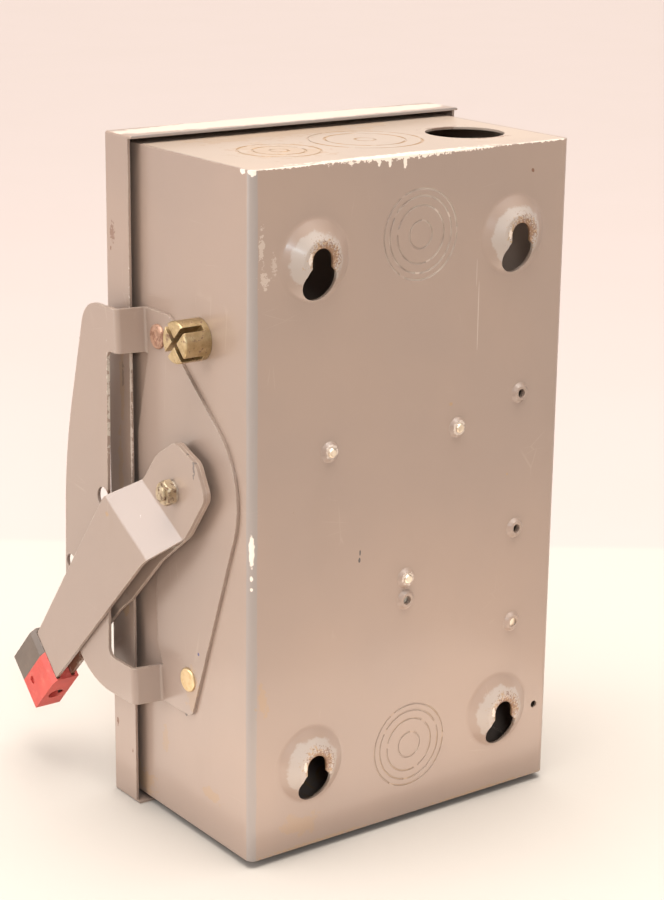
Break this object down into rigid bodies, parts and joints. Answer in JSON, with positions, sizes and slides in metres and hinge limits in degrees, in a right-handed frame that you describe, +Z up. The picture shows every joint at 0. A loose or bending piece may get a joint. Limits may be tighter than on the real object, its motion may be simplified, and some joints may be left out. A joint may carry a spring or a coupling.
{
  "type": "enclosed safety switch",
  "caption": "Wall-mounted steel enclosure with a guarded side lever that turns a cross shaft, a hinged cover and keyhole mountings.",
  "frame": {"origin": "centre of the four head holes of the keyhole mountings, on the wall plane that their raised tops touch", "axes": "+X to the handle side, +Y into the wall, +Z up; the cover faces -Y"},
  "size_m": [0.2415, 0.2255, 0.384],
  "materials": {
    "grey_enamel": "warm grey semi-gloss baked enamel",
    "zinc_yellow": "yellow chromate zinc plate",
    "rusty_rivet": "rusted rivet head",
    "zinc": "bright zinc plated steel",
    "black_moulding": "black moulded phenolic",
    "red_moulding": "red moulded plastic",
    "white_moulding": "glazed white insulating moulding",
    "copper": "copper contact parts",
    "spring_steel": "oiled spring wire",
    "fibre": "brown insulating fibre sheet",
    "tinned_aluminium": "tin plated aluminium"
  },
  "bodies": {
    "enclosure": {"enclosure_wrapper": "grey_enamel", "top_end_wall": "grey_enamel", "bottom_end_wall": "grey_enamel", "handle_guard": "grey_enamel", "guard_rivet_upper": "rusty_rivet", "guard_rivet_lower": "zinc_yellow", "pivot_bush": "zinc", "mechanism_frame": "zinc", "mechanism_frame_rivets": "zinc", "drive_spring": "spring_steel", "crossbar_bush_left": "white_moulding", "crossbar_bush_right": "white_moulding", "switch_base": "white_moulding", "line_lug_screws": "zinc", "load_lug_screws": "zinc", "terminal_screws": "zinc", "base_screws": "zinc", "line_shield": "fibre", "shield_screws": "zinc", "ground_lug": "tinned_aluminium", "ground_lug_screws": "zinc", "line_jaw_1": "copper", "load_jaw_1": "copper", "line_lug_1": "tinned_aluminium", "load_lug_1": "tinned_aluminium", "line_jaw_2": "copper", "load_jaw_2": "copper", "line_lug_2": "tinned_aluminium", "load_lug_2": "tinned_aluminium", "line_jaw_3": "copper", "load_jaw_3": "copper", "line_lug_3": "tinned_aluminium", "load_lug_3": "tinned_aluminium", "box_hinge_leaf_upper": "grey_enamel", "hinge_pin_upper": "zinc", "box_hinge_leaf_lower": "grey_enamel", "hinge_pin_lower": "zinc"},
    "cover_assembly": {"cover": "grey_enamel", "cover_catch": "zinc", "cover_hinge_leaf_upper": "grey_enamel", "cover_hinge_leaf_lower": "grey_enamel"},
    "lever": {"lever_inner_plate": "grey_enamel", "lever_outer_plate": "grey_enamel", "grip_front_half": "black_moulding", "grip_rear_half": "red_moulding", "grip_pin": "zinc", "pivot_shaft": "zinc_yellow", "pivot_lock_washer": "spring_steel", "pivot_nut": "zinc_yellow", "drive_arm": "zinc"},
    "crossbar_assembly": {"crossbar": "black_moulding", "crossbar_driver": "zinc", "blade_1": "copper", "blade_2": "copper", "blade_3": "copper"},
    "release": {"interlock_release": "zinc_yellow", "release_clip": "spring_steel", "release_cam": "zinc"}
  },
  "joints": [
    {"name": "lever_swing", "type": "hinge", "parent": "enclosure", "child": "lever", "pos_m": [0, -0.0645, 0.0205], "axis": [-1, 0, 0], "range_deg": [0, 82]},
    {"name": "crossbar_turn", "type": "hinge", "parent": "enclosure", "child": "crossbar_assembly", "pos_m": [0, -0.0645, 0.0205], "axis": [-1, 0, 0], "range_deg": [0, 60]},
    {"name": "cover_hinge", "type": "hinge", "parent": "enclosure", "child": "cover_assembly", "pos_m": [-0.10875, -0.1035, 0.011], "axis": [0, 0, -1], "range_deg": [0, 110]},
    {"name": "interlock_release_turn", "type": "hinge", "parent": "enclosure", "child": "release", "pos_m": [0, -0.054, 0.1045], "axis": [-1, 0, 0], "range_deg": [0, 60]}
  ],
  "couplings": [
    {"joint": "crossbar_turn", "follows": "lever_swing", "ratio": 0.73171}
  ]
}
